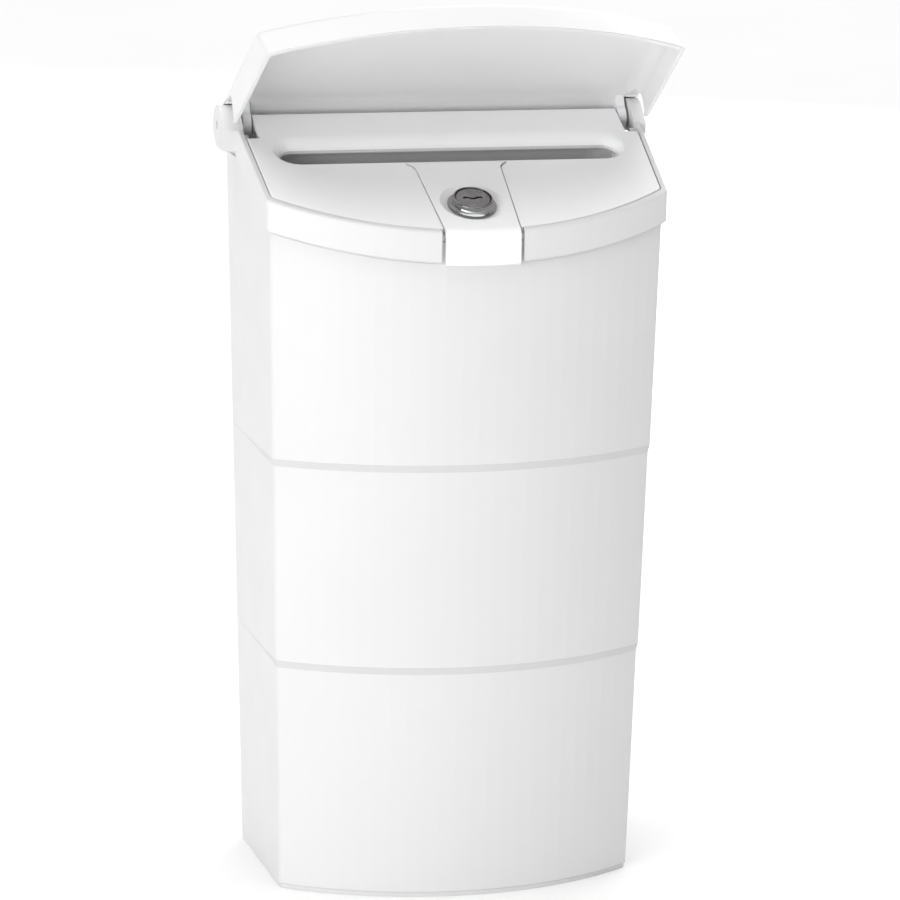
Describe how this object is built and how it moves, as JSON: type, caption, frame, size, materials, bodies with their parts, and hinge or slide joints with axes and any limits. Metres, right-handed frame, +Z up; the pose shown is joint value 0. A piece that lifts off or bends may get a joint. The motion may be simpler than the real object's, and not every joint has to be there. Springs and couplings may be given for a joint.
{
  "type": "wall-mounted lockable hygiene waste bin",
  "caption": "Slim wall-mounted hygiene waste bin: tapered bowed container, slotted inner cover held by a cam lock, and a hinged tray lid standing open.",
  "frame": {"origin": "on the flat base, under the middle of the container", "axes": "+Z up, -Y to the bowed front, +Y to the flat wall side, +X to the right seen from the front"},
  "size_m": [0.1962, 0.1179, 0.3994],
  "materials": {
    "body_white": "satin moulded white plastic",
    "cover_white": "satin moulded white plastic",
    "lid_white": "smooth white plastic, a little cooler and glossier than the body",
    "chrome": "polished chrome plating",
    "brass": "plain brass, out of sight",
    "zinc_steel": "zinc-plated steel, out of sight",
    "pin_steel": "plain steel, almost out of sight"
  },
  "bodies": {
    "container": {"container": "body_white", "collar": "body_white", "hinge_pin_left": "pin_steel", "hinge_pin_right": "pin_steel", "friction_washer_left": "pin_steel", "friction_washer_right": "pin_steel", "pin_clip_left": "pin_steel", "pin_clip_right": "pin_steel"},
    "cover": {"inner_cover": "cover_white", "lock_panel": "cover_white", "lock_barrel": "chrome", "lock_nut": "zinc_steel", "lock_washer": "zinc_steel"},
    "lid": {"lid": "lid_white"},
    "lock_rotor": {"lock_plug": "chrome", "lock_wafer_1": "brass", "lock_wafer_2": "brass", "lock_wafer_3": "brass", "lock_wafer_4": "brass", "lock_wafer_5": "brass", "lock_cam": "zinc_steel", "cam_washer": "zinc_steel", "cam_screw": "zinc_steel"}
  },
  "joints": [
    {"name": "cover_hinge", "type": "hinge", "parent": "container", "child": "cover", "pos_m": [0, 0.0333, 0.338], "axis": [-1, 0, 0], "range_deg": [0, 58]},
    {"name": "lid_hinge", "type": "hinge", "parent": "cover", "child": "lid", "pos_m": [0, 0.0333, 0.338], "axis": [-1, 0, 0], "range_deg": [-55, 0]},
    {"name": "lock_turn", "type": "hinge", "parent": "cover", "child": "lock_rotor", "pos_m": [0, -0.0401, 0.3121], "axis": [0, -0.3943, 0.919], "range_deg": [0, 90]}
  ]
}
